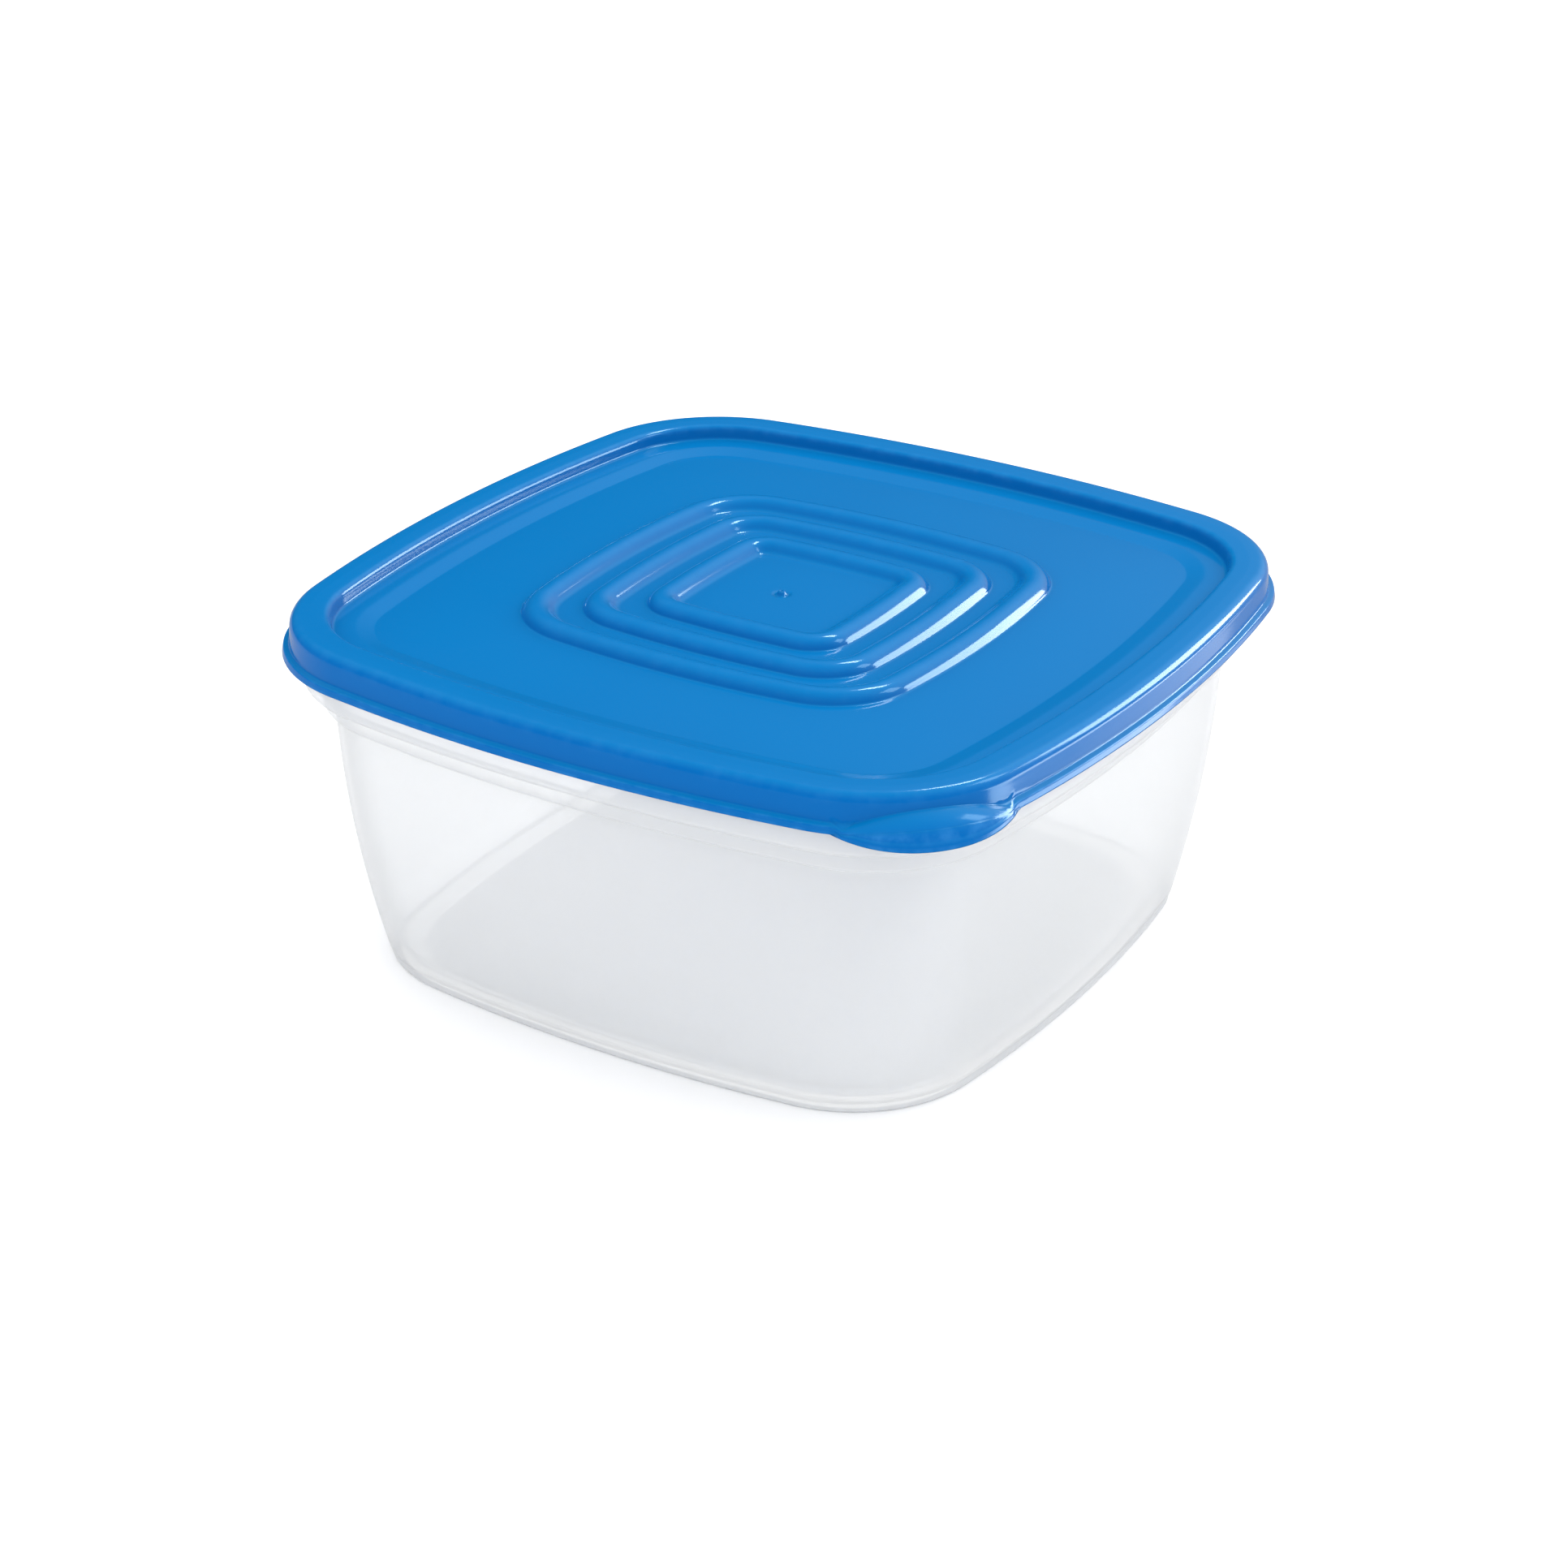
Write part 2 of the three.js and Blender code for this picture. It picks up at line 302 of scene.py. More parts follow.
def mouldedSkinGroup():
    # colour drift, flow marks, faint haze and hairline scratches of a moulded plastic skin, and painted
    # shade that darkens its steep faces
    group = bpy.data.node_groups.new("mouldedSkin", "ShaderNodeTree")
    face = group.interface
    sockets = (
        ("Colour", "NodeSocketColor", (0.5, 0.5, 0.5, 1)),
        ("Deep Colour", "NodeSocketColor", (0.4, 0.4, 0.4, 1)),
        ("Worn Colour", "NodeSocketColor", (0.6, 0.6, 0.6, 1)),
        ("Slope Shade Colour", "NodeSocketColor", (0.4, 0.4, 0.4, 1)),
        ("Drift", "NodeSocketFloat", 0.5),
        ("Roughness", "NodeSocketFloat", 0.2),
        ("Haze", "NodeSocketFloat", 0.08),
        ("Scratches", "NodeSocketFloat", 0.3),
        ("Orange Peel", "NodeSocketFloat", 0.3),
        ("Wear", "NodeSocketFloat", 0.0),
        ("Slope Shade", "NodeSocketFloat", 0.0),
    )
    for name, kind, value in sockets:
        face.new_socket(name, in_out="INPUT", socket_type=kind).default_value = value
    for name, kind in (("Colour", "Color"), ("Roughness", "Float"), ("Height", "Float")):
        face.new_socket(name, in_out="OUTPUT", socket_type="NodeSocket" + kind)
    source, sink = group.nodes.new("NodeGroupInput"), group.nodes.new("NodeGroupOutput")
    coordinates = group.nodes.new("ShaderNodeTexCoord").outputs["Object"]

    def noise(scale, detail, stretch=None):
        where = coordinates
        if stretch:
            mapping = groupNode(group, "ShaderNodeMapping")
            mapping.inputs["Scale"].default_value = stretch[:3]
            mapping.inputs["Rotation"].default_value = (0, 0, stretch[3])
            group.links.new(where, mapping.inputs["Vector"])
            where = mapping.outputs[0]
        node = groupNode(group, "ShaderNodeTexNoise")
        node.inputs["Scale"].default_value = scale
        node.inputs["Detail"].default_value = detail
        group.links.new(where, node.inputs["Vector"])
        return node.outputs["Fac"]

    def spread(value, low, high, first=0.0, second=1.0):
        node = groupNode(group, "ShaderNodeMapRange", clamp=True)
        for name, limit in (("From Min", low), ("From Max", high), ("To Min", first), ("To Max", second)):
            node.inputs[name].default_value = limit
        group.links.new(value, node.inputs["Value"])
        return node.outputs[0]

    def mix(share, first, second):
        node = groupNode(group, "ShaderNodeMix", data_type="RGBA")
        for name, value in ((0, share), (6, first), (7, second)):
            group.links.new(value, node.inputs[name])
        return node.outputs[2]

    drift = calc(group, "MULTIPLY", spread(noise(9, 3), 0.35, 0.7), source.outputs["Drift"])
    streaks = spread(noise(26, 4, (1, 0.35, 2, 0.6)), 0.45, 0.75)
    flow = calc(group, "MULTIPLY", streaks, source.outputs["Drift"])
    tone = calc(group, "MINIMUM", calc(group, "MULTIPLY_ADD", flow, 0.4, drift), 1.0)
    colour = mix(tone, source.outputs["Colour"], source.outputs["Deep Colour"])
    # painted shade: steep faces take the darker slope shade colour
    colour = mix(source.outputs["Slope Shade"], colour, source.outputs["Slope Shade Colour"])
    rubbed = calc(group, "MULTIPLY", source.outputs["Wear"], spread(noise(240, 5), 0.42, 0.68))
    colour = mix(rubbed, colour, source.outputs["Worn Colour"])

    hairs = None
    hairStretch = 24
    for turnXYZ, size in (((0.7, 0.6, 0.3), 22), ((-0.5, 0.8, 1.2), 17), ((0.4, -0.9, 2.1), 26)):
        mapping = groupNode(group, "ShaderNodeMapping")
        mapping.inputs["Rotation"].default_value = turnXYZ
        mapping.inputs["Scale"].default_value = (size, size * hairStretch, size)
        group.links.new(coordinates, mapping.inputs["Vector"])
        cells = groupNode(group, "ShaderNodeTexVoronoi")
        cells.inputs["Scale"].default_value = 1.0
        group.links.new(mapping.outputs[0], cells.inputs["Vector"])
        line = spread(cells.outputs["Distance"], 0.05, 0.12, 1.0, 0.0)
        hairs = line if hairs is None else calc(group, "MAXIMUM", hairs, line)
    patches = spread(noise(14, 2), 0.45, 0.62)
    hairs = calc(group, "MULTIPLY", calc(group, "MULTIPLY", hairs, patches), source.outputs["Scratches"])
    haze = calc(group, "MULTIPLY", spread(noise(17, 6), 0.4, 0.75), source.outputs["Haze"])
    rough = calc(group, "ADD", source.outputs["Roughness"], haze)
    rough = calc(group, "MULTIPLY_ADD", hairs, 0.25, rough)
    rough = calc(group, "MULTIPLY_ADD", rubbed, 0.12, rough)
    peel = calc(group, "MULTIPLY", noise(420, 2), source.outputs["Orange Peel"])
    height = calc(group, "SUBTRACT", peel, calc(group, "MULTIPLY", hairs, 0.6))
    for name, value in (("Colour", colour), ("Roughness", rough), ("Height", height)):
        group.links.new(value, sink.inputs[name])
    return group


def mouldedPlastic(name, skinGroup, look):
    # a Principled plastic whose colour, roughness and relief come from the moulded skin
    material = bpy.data.materials.new(name)
    material.use_nodes = True
    tree = material.node_tree
    shader = tree.nodes["Principled BSDF"]
    skin = tree.nodes.new("ShaderNodeGroup")
    skin.node_tree = skinGroup
    for key, value in look["skin"].items():
        skin.inputs[key].default_value = value
    worn = tree.nodes.new("ShaderNodeAttribute")
    worn.attribute_name = "wear"
    wearShare = calc(tree, "MULTIPLY", worn.outputs["Fac"], look["wear"])
    tree.links.new(wearShare, skin.inputs["Wear"])
    # painted shade: the stored lean sets how much of the darker slope shade colour a face takes
    slopeShade = tree.nodes.new("ShaderNodeAttribute")
    slopeShade.attribute_name = "slopeShade"
    tree.links.new(slopeShade.outputs["Fac"], skin.inputs["Slope Shade"])
    bump = tree.nodes.new("ShaderNodeBump")
    bump.inputs["Strength"].default_value = look["bump"]
    bump.inputs["Distance"].default_value = 0.1 * mm
    tree.links.new(skin.outputs["Colour"], shader.inputs["Base Color"])
    tree.links.new(skin.outputs["Roughness"], shader.inputs["Roughness"])
    tree.links.new(skin.outputs["Height"], bump.inputs["Height"])
    tree.links.new(bump.outputs[0], shader.inputs["Normal"])
    for key, value in look["shader"].items():
        shader.inputs[key].default_value = value
    return material


skinGroup = mouldedSkinGroup()
turnTree = bowedTurnTree()

tubSize = {
    "footHalf": 93.4,
    "footCorner": 38.0,
    "footBow": 430.0,
    "wallTopDrop": 16.5,  # below the lid's seat
    "wallTopInset": 13.2,
    "bulge": 0.94,
    "wall": 1.5,
    "floorTop": 2.8,
    "footRound": 2.6,
    "footRecess": 1.2,
    "ringWidth": 7.0,
    "floorRim": 12.0,
    "wallFrom": 3.6,  # heights where the plain wall starts, outside and inside
    "innerWallFrom": 8.2,
    "wallSteps": 40,
    "steps": (36, 40),
}
tubLook = {
    "skin": {
        "Colour": (0.975, 0.98, 0.985, 1),
        "Deep Colour": (0.95, 0.96, 0.97, 1),
        "Worn Colour": (0.97, 0.97, 0.97, 1),
        # painted shade for the tub's steep faces, a little darker than its colour
        "Slope Shade Colour": (0.955, 0.965, 0.975, 1),
        "Drift": 0.6,
        "Roughness": 0.32,
        "Haze": 0.1,
        "Scratches": 0.5,
        "Orange Peel": 0.35,
    },
    "wear": 0.5,
    "bump": 0.12,
    "shader": {
        "IOR": 1.49,
        "Specular IOR Level": 0.3,
    },
    "alpha": (0.32, 0.5),  # of a wall seen straight on, and what an edge-on wall adds
    # painted shade: the grey that a wall seen edge on takes, darkening the tub's sides, and the facing
    # range over which it comes in
    "edgeOnShadeColour": (0.74, 0.75, 0.76, 1),
    "edgeOnShadeReach": (0.2, 0.65),
}


def wallRing(share, thickness):
    # the tub's wall: share 0 is the foot, 1 is under the collar
    size = tubSize
    topHalf = outline["half"] - size["wallTopInset"]
    bulged = 2 * share * (1 - share) * size["bulge"] + share * share
    topBow, topCorner = outline["bow"] - size["wallTopInset"], outline["corner"] - size["wallTopInset"]
    return (
        size["footHalf"] + (topHalf - size["footHalf"]) * bulged - thickness,
        size["footBow"] + (topBow - size["footBow"]) * share - thickness,
        size["footCorner"] + (topCorner - size["footCorner"]) * share - thickness,
        share * (outline["seat"] - size["wallTopDrop"]),
    )


def wallRings(low, high, thickness):
    height = outline["seat"] - tubSize["wallTopDrop"]
    count = tubSize["wallSteps"]
    return [wallRing((low + (high - low) * k / count) / height, thickness) for k in range(count + 1)]


def shrunk(ring, points):
    return [(ring[0] - inset, ring[1] - inset, ring[2] - inset, z) for inset, z in points]


def towardsMiddle(ring):
    # the flat run from a ring to the axis, scaled so that its corners stay round
    shares = (0.85, 0.7, 0.55, 0.4, 0.25, 0.1)
    return [tuple(size * share for size in ring[:3]) + (ring[3],) for share in shares]


def tubRings():
    # from the middle of the underside out to the foot, up the wall, over the lip and down inside
    size = tubSize
    wallHeight = outline["seat"] - size["wallTopDrop"]
    foot, innerFoot = wallRing(0, 0), wallRing(0, size["wall"])
    recess, floorTop = size["footRecess"], size["floorTop"]
    inner = size["footRound"] + size["ringWidth"]
    under = filletPath([
        (inner + 14, recess + 0.6, 0), (inner + 12.5, recess, 0.8), (inner + 1.2, recess, 0.5),
        (inner, 0, 0.5), (size["footRound"], 0, 0), (1.9, 0.05, 0)], 2.5)
    toe = filletPath([(1.9, 0.05, 0), (-0.05, 0, 2.4), (-0.35, size["wallFrom"], 0)], 0.6)
    collar = filletPath([
        (13.2, -16.5, 0), (12.95, -15.45, 0.5), (10.1, -15.2, 2.6), (9.95, -9.25, 0.35),
        (5.1, -9.0, 4.4), (4.9, 4.6, 0.5), (4.3, 5.4, 0.6), (4.3, 8.3, 0.9), (6.5, 8.3, 0.9),
        (6.5, -7.6, 3.6), (11.5, -9.9, 0.8), (11.65, -13.9, 2.0), (14.7, -16.5, 0)], 1.2)
    hollow = filletPath([
        (0.0, size["innerWallFrom"], 0), (0.45, floorTop, 5.2), (size["floorRim"], floorTop, 0)], 2.5)
    underRings, hollowRings = shrunk(foot, under + toe[1:-1]), shrunk(innerFoot, hollow[1:])
    rings = [(0, 0, 0, underRings[0][3])]
    rings += list(reversed(towardsMiddle(underRings[0])))
    rings += underRings
    rings += wallRings(size["wallFrom"], wallHeight, 0)
    rings += [insetRing(*p) for p in collar[1:-1]]
    rings += list(reversed(wallRings(size["innerWallFrom"], wallHeight, size["wall"])))
    rings += hollowRings
    rings += towardsMiddle(hollowRings[-1])
    rings += [(0, 0, 0, floorTop)]
    return rings


def thinMilkyWall(material, look):
    # a milky wall hides more where it is seen edge on; it is also painted greyer there, a painted shade
    # that darkens the tub's sides
    tree = material.node_tree
    shader = tree.nodes["Principled BSDF"]
    edge = tree.nodes.new("ShaderNodeLayerWeight")
    edge.inputs["Blend"].default_value = 0.5
    square = calc(tree, "POWER", edge.outputs["Facing"], 2.0)
    alpha = calc(tree, "MULTIPLY_ADD", square, look["alpha"][1], look["alpha"][0])
    tree.links.new(alpha, shader.inputs["Alpha"])
    # painted shade: greyer towards walls seen edge on
    ramp = groupNode(tree, "ShaderNodeMapRange", interpolation_type="SMOOTHSTEP")
    ramp.inputs["From Min"].default_value, ramp.inputs["From Max"].default_value = look["edgeOnShadeReach"]
    tree.links.new(edge.outputs["Facing"], ramp.inputs["Value"])
    tint = groupNode(tree, "ShaderNodeMix", data_type="RGBA")
    tint.inputs[7].default_value = look["edgeOnShadeColour"]
    tree.links.new(ramp.outputs[0], tint.inputs[0])
    tree.links.new(shader.inputs["Base Color"].links[0].from_socket, tint.inputs[6])
    tree.links.new(tint.outputs[2], shader.inputs["Base Color"])


tubMaterial = mouldedPlastic("milkyTubPlastic", skinGroup, tubLook)
thinMilkyWall(tubMaterial, tubLook)
tub = turnProfile("tubMoulding", tubRings(), turnTree, tubSize["steps"], tubMaterial)
print("tub made,", len(tub.data.polygons), "faces")

lidSize = {
    "thickness": 1.2,
    "panelInset": 24.5,
    "panelEdge": 4.6,
    "panelMiddle": 5.8,
    "ridgeHalves": (61.0, 46.4, 31.8),
    "ridgeCorners": (25.0, 18.0, 12.5),
    "ridgeBow": 300.0,
    "ridgeWidth": 9.3,
    "ridgeHeight": 2.9,
    "ridgeOuterSlope": 57,
    "ridgeInnerSlope": 46,
    "ridgeRound": 4.5,
    "ridgeFootRound": 0.7,
    "ridgeInnerFootRound": 2.5,
    "hollowShrink": 0.9,  # how much narrower a ridge is on the underside
    "tabCentre": 2.9,  # along the corner from its middle, towards +Y
    "tabHalfWidth": 23.9,
    "tabPower": 2.23,
    "tabReach": 5.3,
    "tabDrop": 2.1,
    "tabTop": 5.8,
    "tabSweep": 0.7,  # how far round the corner the tab may reach, in radians
    "lipShare": 0.2,  # of the skin below the crease that forms the tab's upright lip
    "lipHeight": 1.5,
    "lipLean": 0.3,
    "scoopStart": 0.75,
    "scoopRoundness": 0.62,
    "creaseShare": 0.68,
    "gate": (-1.8, -0.8),
    "gateNub": 1.1,
    "gateDimple": 0.35,
    "steps": (24, 40),
}
lidLook = {
    "skin": {
        "Colour": (0.001, 0.15, 0.41, 1),
        "Deep Colour": (0.001, 0.138, 0.39, 1),
        "Worn Colour": (0.03, 0.20, 0.50, 1),
        # painted shade for the lid's steep faces, darker than its colour
        "Slope Shade Colour": (0.001, 0.106, 0.362, 1),
        "Drift": 0.5,
        "Roughness": 0.10,
        "Haze": 0.05,
        "Scratches": 0.25,
        "Orange Peel": 0.15,
    },
    "wear": 0.4,
    "bump": 0.05,
    "shader": {"IOR": 1.5, "Specular IOR Level": 0.25, "Specular Tint": (0.5, 0.9, 1, 1)},
}


def panelHeight(half):
    share = half / (outline["half"] - lidSize["panelInset"])
    return lidSize["panelMiddle"] + (lidSize["panelEdge"] - lidSize["panelMiddle"]) * share * share


def ridgeRings(half, corner, shrink, drop, step):
    # one ridge: a steeper outer flank with a crisp foot, a round crest, and an inner flank that
    # runs out softly; the underside is the same, narrower and lower
    size = lidSize
    high = size["ridgeHeight"]
    outer, inner = math.radians(size["ridgeOuterSlope"]), math.radians(size["ridgeInnerSlope"])
    foot, innerFoot = shrink * 0.8, size["ridgeWidth"] - shrink * 0.8
    section = filletPath([
        (-2.0, 0, 0), (foot, 0, size["ridgeFootRound"]),
        (foot + high / math.tan(outer), high, size["ridgeRound"]),
        (innerFoot - high / math.tan(inner), high, size["ridgeRound"]),
        (innerFoot, 0, size["ridgeInnerFootRound"]), (size["ridgeWidth"] + 1.6, 0, 0)], step, 0.8)
    rings = []
    for inset, lift in section[1:-1]:
        z = outline["seat"] + panelHeight(half - inset) + lift - drop
        rings.append((half - inset, size["ridgeBow"] - inset, max(corner - inset, 1.2), z))
    return rings


def allRidges(shrink, drop, step):
    rings = []
    for half, corner in zip(lidSize["ridgeHalves"], lidSize["ridgeCorners"]):
        rings += ridgeRings(half, corner, shrink, drop, step)
    return rings


def panelRings(drop, steps):
    # the flat run between the panel's edge and the outer ridge
    edge = insetRing(lidSize["panelInset"], 0)
    outerRidge = (lidSize["ridgeHalves"][0], lidSize["ridgeBow"], lidSize["ridgeCorners"][0])
    ridge = tuple(size + 1.2 for size in outerRidge)
    rings = []
    for k in range(1, steps):
        share = k / steps
        half, bow, corner = (a + (b - a) * share for a, b in zip(edge[:3], ridge))
        rings.append((half, bow, corner, outline["seat"] + panelHeight(half) - drop))
    return rings


def padRings(drop, steps):
    # the flat pad inside the inner ridge: its rings crowd and turn rounder towards the middle
    first = lidSize["ridgeHalves"][-1] - lidSize["ridgeWidth"] - 1.0
    rings = []
    for k in range(1, steps):
        half = first * (1 - k / steps) ** 2.2
        corner = half * 0.12 + (first - half) * 0.25 * half / first
        rings.append((half, half * 12, corner, outline["seat"] + panelHeight(half) - drop))
    return rings


def lidRings():
    # from the middle of the underside out to the flange, up the skirt and back over the top
    size = lidSize
    thin, edge = size["thickness"], size["panelInset"]
    hidden = filletPath([
        (edge, size["panelEdge"] - thin, 0), (19.6, 5.6 - thin, 1.5), (13.2, 4.4, 0.5),
        (12.2, 5.0, 0.8), (11.7, 8.6, 0.9), (4.0, 8.6, 1.2), (3.5, 4.6, 0.4), (3.9, 3.7, 0.5),
        (3.9, 2.8, 0.5), (3.3, 1.6, 0.6), (2.6, 0.0, 0)], 1.3)
    flangeFace = filletPath([(2.6, 0, 0), (0.0, 0.0, 0)], 0.36)
    skin = filletPath([
        (0.0, 0.0, 0), (0.35, 1.75, 0.45), (1.9, 2.3, 0.6), (2.25, 6.6, 0)], 0.36)
    rim = filletPath([
        (2.25, 6.6, 0), (2.4, 9.8, 3.4), (7.6, 9.9, 6), (12.7, 9.7, 1.9), (13.45, 5.72, 1.0),
        (19.6, 5.6, 5.0), (edge, size["panelEdge"], 1.4),
        (edge + 3, panelHeight(outline["half"] - edge - 3), 0)], 0.8, 0.8)
    rings = [(0, 0, 0, outline["seat"] + panelHeight(0) - thin)]
    rings += list(reversed(padRings(thin, 5)))
    rings += list(reversed(allRidges(size["hollowShrink"], thin, 1.4)))
    rings += list(reversed(panelRings(thin, 3)))
    rings += [insetRing(*p) for p in hidden[:-1]]
    markers = {"flange": len(rings)}
    rings += [insetRing(*p) for p in flangeFace[:-1]]
    markers["edge"] = len(rings)
    rings += [insetRing(*p) for p in skin[:-1]]
    markers["skirt"] = len(rings)
    rings += [insetRing(*p) for p in rim[:-1]]
    rings += panelRings(0, 8)[1:]
    rings += allRidges(0, 0, 0.55)
    rings += padRings(0, 30)
    rings += [(0, 0, 0, outline["seat"] + panelHeight(0))]
    return rings, markers, flangeFace, skin


def pathLengths(path):
    steps = np.linalg.norm(np.diff(np.array(path), axis=0), axis=1)
    return np.concatenate([[0], np.cumsum(steps)])


def alongPath(path, lengths):
    # the points at these lengths along a polyline
    path = np.array(path)
    return np.stack([np.interp(lengths, pathLengths(path), path[:, k]) for k in (0, 1)], -1)


def tabSkin(skin, pull, count):
    # the skirt's outer face from the flange's lower edge up, at one place along the tab, as
    # (inset, rise) rings: an upright lip, a scoop up to the crease, then the skirt as it was
    size = lidSize
    plainLengths = pathLengths(skin)
    total = plainLengths[-1]
    top = size["tabTop"] * pull
    dense = np.linspace(0, total, 400)
    densePoints = alongPath(skin, dense)
    creaseLength = np.interp(top, densePoints[:, 1], dense)
    creaseInset = np.interp(creaseLength, dense, densePoints[:, 0])
    creaseRing = int(count * size["creaseShare"])
    below = np.linspace(0, creaseLength, creaseRing + 1)
    above = np.linspace(creaseLength, total, count - creaseRing)[1:]
    ease = min(1.0, pull * 4)
    ease = ease * ease * (3 - 2 * ease)
    lengths = plainLengths * (1 - ease) + np.concatenate([below, above]) * ease
    points = alongPath(skin, lengths)
    reach, drop = size["tabReach"] * pull, size["tabDrop"] * pull
    lipHeight = min(size["lipHeight"], 0.3 * top + drop)
    low, lipShare, start = -drop + lipHeight, size["lipShare"], size["scoopStart"] - reach
    for k, length in enumerate(lengths):
        share = length / creaseLength if creaseLength > 1e-6 else 1
        if share >= 1:
            continue
        if share <= lipShare:
            s = share / lipShare
            points[k] = (-reach + size["lipLean"] * s, -drop + lipHeight * s)
            continue
        s = (share - lipShare) / (1 - lipShare)
        angle = s * math.pi / 2
        scoop = np.array([
            creaseInset + (start - creaseInset) * math.cos(angle), low + (top - low) * math.sin(angle)])
        straight = np.array([start + (creaseInset - start) * s, low + (top - low) * s])
        points[k] = scoop * size["scoopRoundness"] + straight * (1 - size["scoopRoundness"])
    return points


def tabPocket(flangeFace, pull):
    # the hollow under the tab, from the skirt's inner foot out to the lip
    base = np.array(flangeFace)
    share = np.linspace(0, 1, len(base))
    reach, drop, top = (lidSize[key] * pull for key in ("tabReach", "tabDrop", "tabTop"))
    keyShare = [0, 0.08, 0.35, 0.5, 0.75, 0.93, 1]
    keyInset = [2.6, 2.45, 2.35, 1.4, -0.55 * reach, -reach + 0.95, -reach]
    keyRise = [0, 0.05, 0.52 * top, 0.62 * top, 0.45 * top, -drop + 0.12, -drop]
    target = np.stack([np.interp(share, keyShare, keyInset), np.interp(share, keyShare, keyRise)], -1)
    ease = min(1.0, pull * 3)
    return base * (1 - ease) + target * ease


def addThumbTab(piece, markers, flangeFace, skin):
    # pulls the skirt out into the thumb tab at the corner towards +X and -Y
    size, mesh = lidSize, piece.data
    points = readPoints(mesh) / mm
    ringOf = np.zeros(len(points), np.float32)
    mesh.attributes["ringIndex"].data.foreach_get("value", ringOf)
    ringOf = np.rint(ringOf).astype(int)
    middle = cornerCentre(outline["half"], outline["bow"], outline["corner"])
    away = points[:, :2] - np.array([middle, -middle])
    angle = np.arctan2(away[:, 1], away[:, 0]) + math.pi / 4
    across = outline["corner"] * np.sin(angle)
    within = (ringOf >= markers["flange"]) & (ringOf < markers["skirt"])
    within &= np.abs(angle) < size["tabSweep"]
    within &= (points[:, 0] > middle) & (points[:, 1] < -middle)
    count = markers["skirt"] - markers["edge"]
    for value in np.unique(np.round(across[within], 3)):
        pull = 1 - (abs(value - size["tabCentre"]) / size["tabHalfWidth"]) ** size["tabPower"]
        if pull <= 0:
            continue
        outer = tabSkin(skin, pull, count + 1)
        under = tabPocket(flangeFace, pull)
        for vertex in np.where(within & (np.abs(across - value) < 0.002))[0]:
            ring = ringOf[vertex]
            onSkin = ring >= markers["edge"]
            inset, rise = outer[ring - markers["edge"]] if onSkin else under[ring - markers["flange"]]
            radius = outline["corner"] - inset
            direction = angle[vertex] - math.pi / 4
            points[vertex, 0] = middle + radius * math.cos(direction)
            points[vertex, 1] = -middle + radius * math.sin(direction)
            points[vertex, 2] = outline["seat"] + rise
    writePoints(mesh, points * mm)


def addGateMark(piece, place, floor, nub, dimple):
    # the trimmed sprue: a small cratered nub in a shallow dimple, with the pad's rings drawn to it
    points = readPoints(piece.data) / mm
    pad = np.hypot(points[:, 0], points[:, 1])
    level = np.abs(points[:, 2] - floor) < 0.4
    draw = np.clip(1 - pad / 18, 0, 1) * level
    points[:, :2] += draw[:, None] * np.array(place)
    distance = np.hypot(points[:, 0] - place[0], points[:, 1] - place[1])
    near = (distance < 4) & level
    crater = 1 - 0.6 * np.exp(-(distance / 0.5) ** 2)
    lift = nub * np.exp(-(distance / 1.2) ** 6) * crater
    lift -= dimple * np.exp(-((distance - 1.9) / 0.4) ** 2)
    points[near, 2] += lift[near]
    writePoints(piece.data, points * mm)


lidMaterial = mouldedPlastic("glossBlueLid", skinGroup, lidLook)
lidRingList, lidMarkers, flangeFace, skirtSkin = lidRings()
lid = turnProfile("lidMoulding", lidRingList, turnTree, lidSize["steps"], lidMaterial)
addThumbTab(lid, lidMarkers, flangeFace, skirtSkin)
padHeight = outline["seat"] + lidSize["panelMiddle"]
addGateMark(lid, lidSize["gate"], padHeight, lidSize["gateNub"], lidSize["gateDimple"])
print("lid made,", len(lid.data.polygons), "faces,", len(lidRingList), "rings")

# store each point's lean, which sets its painted shade on steep faces
for piece, body in ((tub, "tub"), (lid, "lid")):
    markSlopeShade(piece, 0.08, 0.5)
    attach(piece, body)
    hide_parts(body)

studio = {
    "floorHalf": 4.0,
    "floorColour": (0.9, 0.9, 0.9, 1),
    "floorInGloss": (0.35, 0.35, 0.35, 1),  # toned down in reflections, as by a dark flag
    "fill": 1.62,
    "fillLean": 0.08,
    "glossLow": 0.02,
    "glossHigh": 0.35,
    "lightRise": (0.38, 0.85),
    "glow": 1.5,
    "glowReach": (0.45, 0.97),
    "backdrop": 0.95,
    "windowTowards": (0.44, 0.745, 0.485),
    "keySize": (0.55, 0.5),
    "keyPlace": (0.62, 1.05, 0.72),
    "keyPower": 2.5,
    "cards": (  # azimuth from +Y towards +X, elevation, width and height in degrees, radiance
        ("mainWindow", 34, 19, 30, 20, 17),
        ("sidePane", 57, 44, 15, 18, 8),
        ("ceilingStrip", -4, 56, 14, 6, 34),
    ),
    "cardDistance": 1.1,
    "floorCards": (  # place on the floor, size and radiance
        ("nearFloorCard", (0.235, 0.165), (0.10, 0.42), 1.6),
        ("farFloorCard", (0.42, 0.31), (0.22, 0.60), 9),
    ),
}
view = {
    "azimuth": 31.65,
    "elevation": 25.89,
    "roll": 0.38,
    "distance": 0.92575,
    "lens": 78.43,
    "aimRight": -0.00127,
    "aimUp": -0.0461,
}


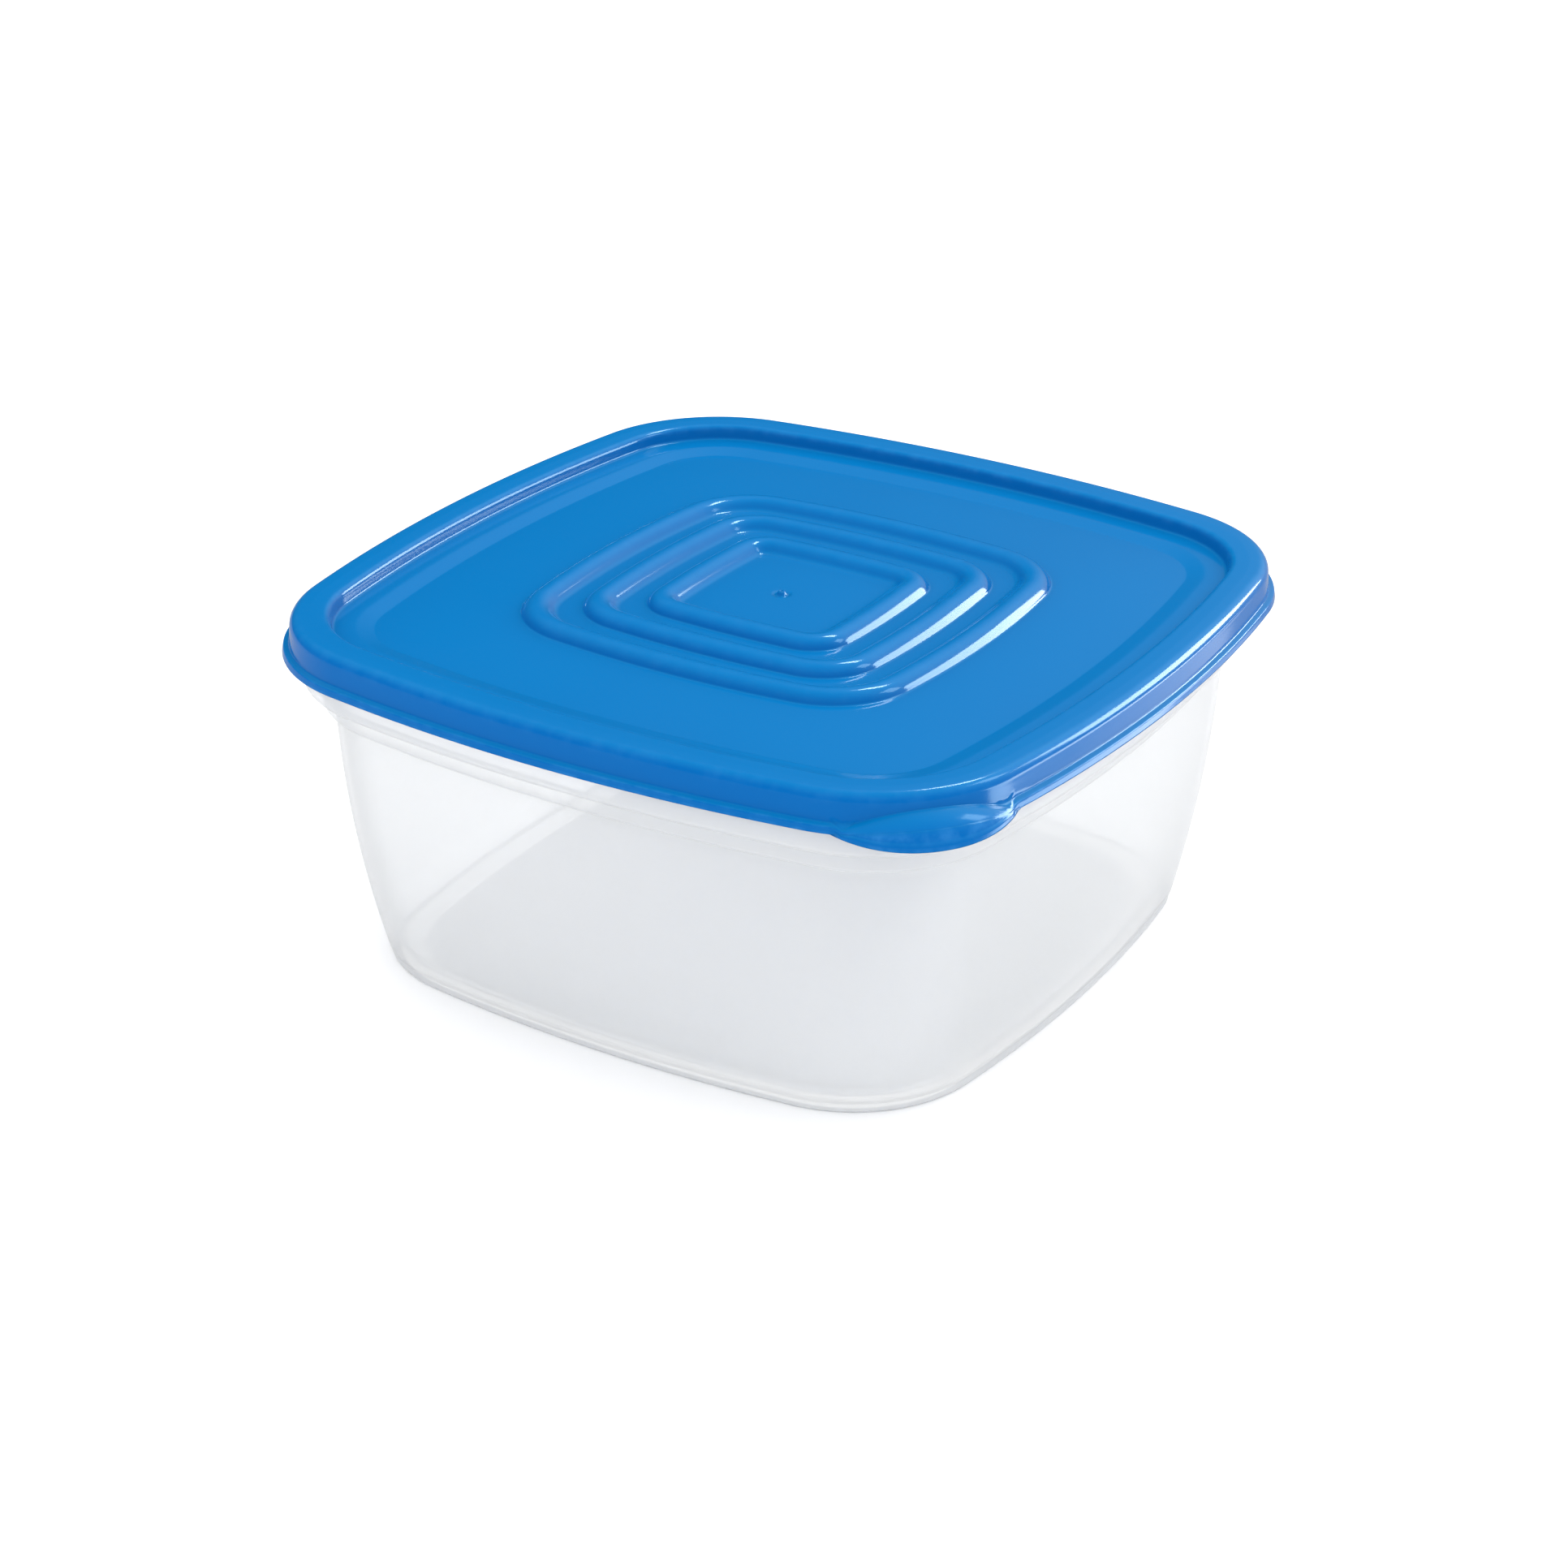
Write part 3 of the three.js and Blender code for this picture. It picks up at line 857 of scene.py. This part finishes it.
def makeFloor():
    reach = studio["floorHalf"]
    mesh = bpy.data.meshes.new("floor")
    corners = [(-reach, -reach, 0), (reach, -reach, 0), (reach, reach, 0), (-reach, reach, 0)]
    mesh.from_pydata(corners, [], [(0, 1, 2, 3)])
    floor = bpy.data.objects.new("floor", mesh)
    bpy.context.scene.collection.objects.link(floor)
    material = bpy.data.materials.new("paleFloor")
    material.use_nodes = True
    shader = material.node_tree.nodes["Principled BSDF"]
    path = material.node_tree.nodes.new("ShaderNodeLightPath")
    tone = groupNode(material.node_tree, "ShaderNodeMix", data_type="RGBA")
    tone.inputs[6].default_value = studio["floorColour"]
    tone.inputs[7].default_value = studio["floorInGloss"]
    material.node_tree.links.new(path.outputs["Is Glossy Ray"], tone.inputs[0])
    material.node_tree.links.new(tone.outputs[2], shader.inputs["Base Color"])
    shader.inputs["Roughness"].default_value = 0.9
    shader.inputs["Specular IOR Level"].default_value = 0.0
    mesh.materials.append(material)


def makeWorld():
    world = bpy.data.worlds.new("studio")
    bpy.context.scene.world = world
    world.use_nodes = True
    tree = world.node_tree
    background = tree.nodes["Background"]
    coordinates = tree.nodes.new("ShaderNodeTexCoord")
    split = tree.nodes.new("ShaderNodeSeparateXYZ")
    tree.links.new(coordinates.outputs["Generated"], split.inputs[0])
    toWindow = groupNode(tree, "ShaderNodeVectorMath", operation="DOT_PRODUCT")
    toWindow.inputs[1].default_value = Vector(studio["windowTowards"]).normalized()
    tree.links.new(coordinates.outputs["Generated"], toWindow.inputs[0])
    path = tree.nodes.new("ShaderNodeLightPath")

    def ramp(value, reach, low, high, shape="SMOOTHSTEP"):
        node = groupNode(tree, "ShaderNodeMapRange", interpolation_type=shape)
        for name, limit in zip(("From Min", "From Max", "To Min", "To Max"), (*reach, low, high)):
            node.inputs[name].default_value = limit
        tree.links.new(value, node.inputs["Value"])
        return node.outputs[0]

    def pick(factor, first, second):
        node = groupNode(tree, "ShaderNodeMix", data_type="FLOAT")
        for name, value in (("Factor", factor), ("A", first), ("B", second)):
            if isinstance(value, float):
                node.inputs[name].default_value = value
            else:
                tree.links.new(value, node.inputs[name])
        return node.outputs[0]

    lean, level = studio["fillLean"], 1.0 - 0.3 * studio["fillLean"]
    leaned = calc(tree, "MULTIPLY_ADD", toWindow.outputs["Value"], lean, level)
    fill = calc(tree, "MULTIPLY", leaned, studio["fill"])
    gloss = ramp(split.outputs["Z"], studio["lightRise"], studio["glossLow"], studio["glossHigh"])
    share = ramp(toWindow.outputs["Value"], studio["glowReach"], 0.0, 1.0, "LINEAR")
    glow = calc(tree, "MULTIPLY", calc(tree, "MULTIPLY", share, share), studio["glow"])
    mirrored = pick(path.outputs["Is Glossy Ray"], fill, calc(tree, "ADD", gloss, glow))
    strength = pick(path.outputs["Is Camera Ray"], mirrored, studio["backdrop"])
    tree.links.new(strength, background.inputs["Strength"])
    background.inputs["Color"].default_value = (1, 1, 1, 1)


def makeSoftbox(name, place, size, power, target, seenBy):
    data = bpy.data.lights.new(name, "AREA")
    data.shape = "RECTANGLE"
    data.size, data.size_y = size
    data.energy = power
    light = bpy.data.objects.new(name, data)
    light.location = place
    light.rotation_euler = (Vector(target) - Vector(place)).to_track_quat("-Z", "Y").to_euler()
    light.visible_camera = False
    light.visible_diffuse = seenBy == "diffuse"
    light.visible_glossy = seenBy == "glossy"
    light.visible_transmission = seenBy == "diffuse"
    bpy.context.scene.collection.objects.link(light)


def makeCards():
    # bright cards that only the gloss sees, so that they draw highlights without lighting the floor
    target = Vector((0, 0, outline["seat"] * mm))
    distance = studio["cardDistance"]
    for name, azimuth, elevation, width, height, radiance in studio["cards"]:
        a, e = math.radians(azimuth), math.radians(elevation)
        towards = Vector((math.sin(a) * math.cos(e), math.cos(a) * math.cos(e), math.sin(e)))
        size = [2 * distance * math.tan(math.radians(angle) / 2) for angle in (width, height)]
        power = radiance * math.pi * size[0] * size[1]
        makeSoftbox(name, target + towards * distance, size, power, target, "glossy")
    for name, place, size, radiance in studio["floorCards"]:
        low = Vector((*place, 2 * mm))
        power = radiance * math.pi * size[0] * size[1]
        makeSoftbox(name, low, size, power, low + Vector((0, 0, 1)), "glossy")


def makeCamera():
    a, e, roll = (math.radians(view[key]) for key in ("azimuth", "elevation", "roll"))
    back = Vector((math.sin(a) * math.cos(e), -math.cos(a) * math.cos(e), math.sin(e)))
    right = Vector((0, 0, 1)).cross(back).normalized()
    up = back.cross(right)
    rolledRight = right * math.cos(roll) + up * math.sin(roll)
    rolledUp = up * math.cos(roll) - right * math.sin(roll)
    target = Vector((0, 0, outline["seat"] * mm))
    target += rolledRight * view["aimRight"] + rolledUp * view["aimUp"]
    data = bpy.data.cameras.new("camera")
    data.lens = view["lens"]
    data.sensor_width = 36
    camera = bpy.data.objects.new("camera", data)
    axes = Matrix((rolledRight, rolledUp, back)).transposed().to_4x4()
    camera.matrix_world = Matrix.Translation(target + back * view["distance"]) @ axes
    bpy.context.scene.collection.objects.link(camera)
    bpy.context.scene.camera = camera


makeFloor()
makeWorld()
keyTarget = (0, 0, 0.08)
makeSoftbox("keySoftbox", studio["keyPlace"], studio["keySize"], studio["keyPower"], keyTarget, "diffuse")
makeCards()
makeCamera()
bpy.context.scene.view_settings.view_transform = "Standard"
print("studio made")
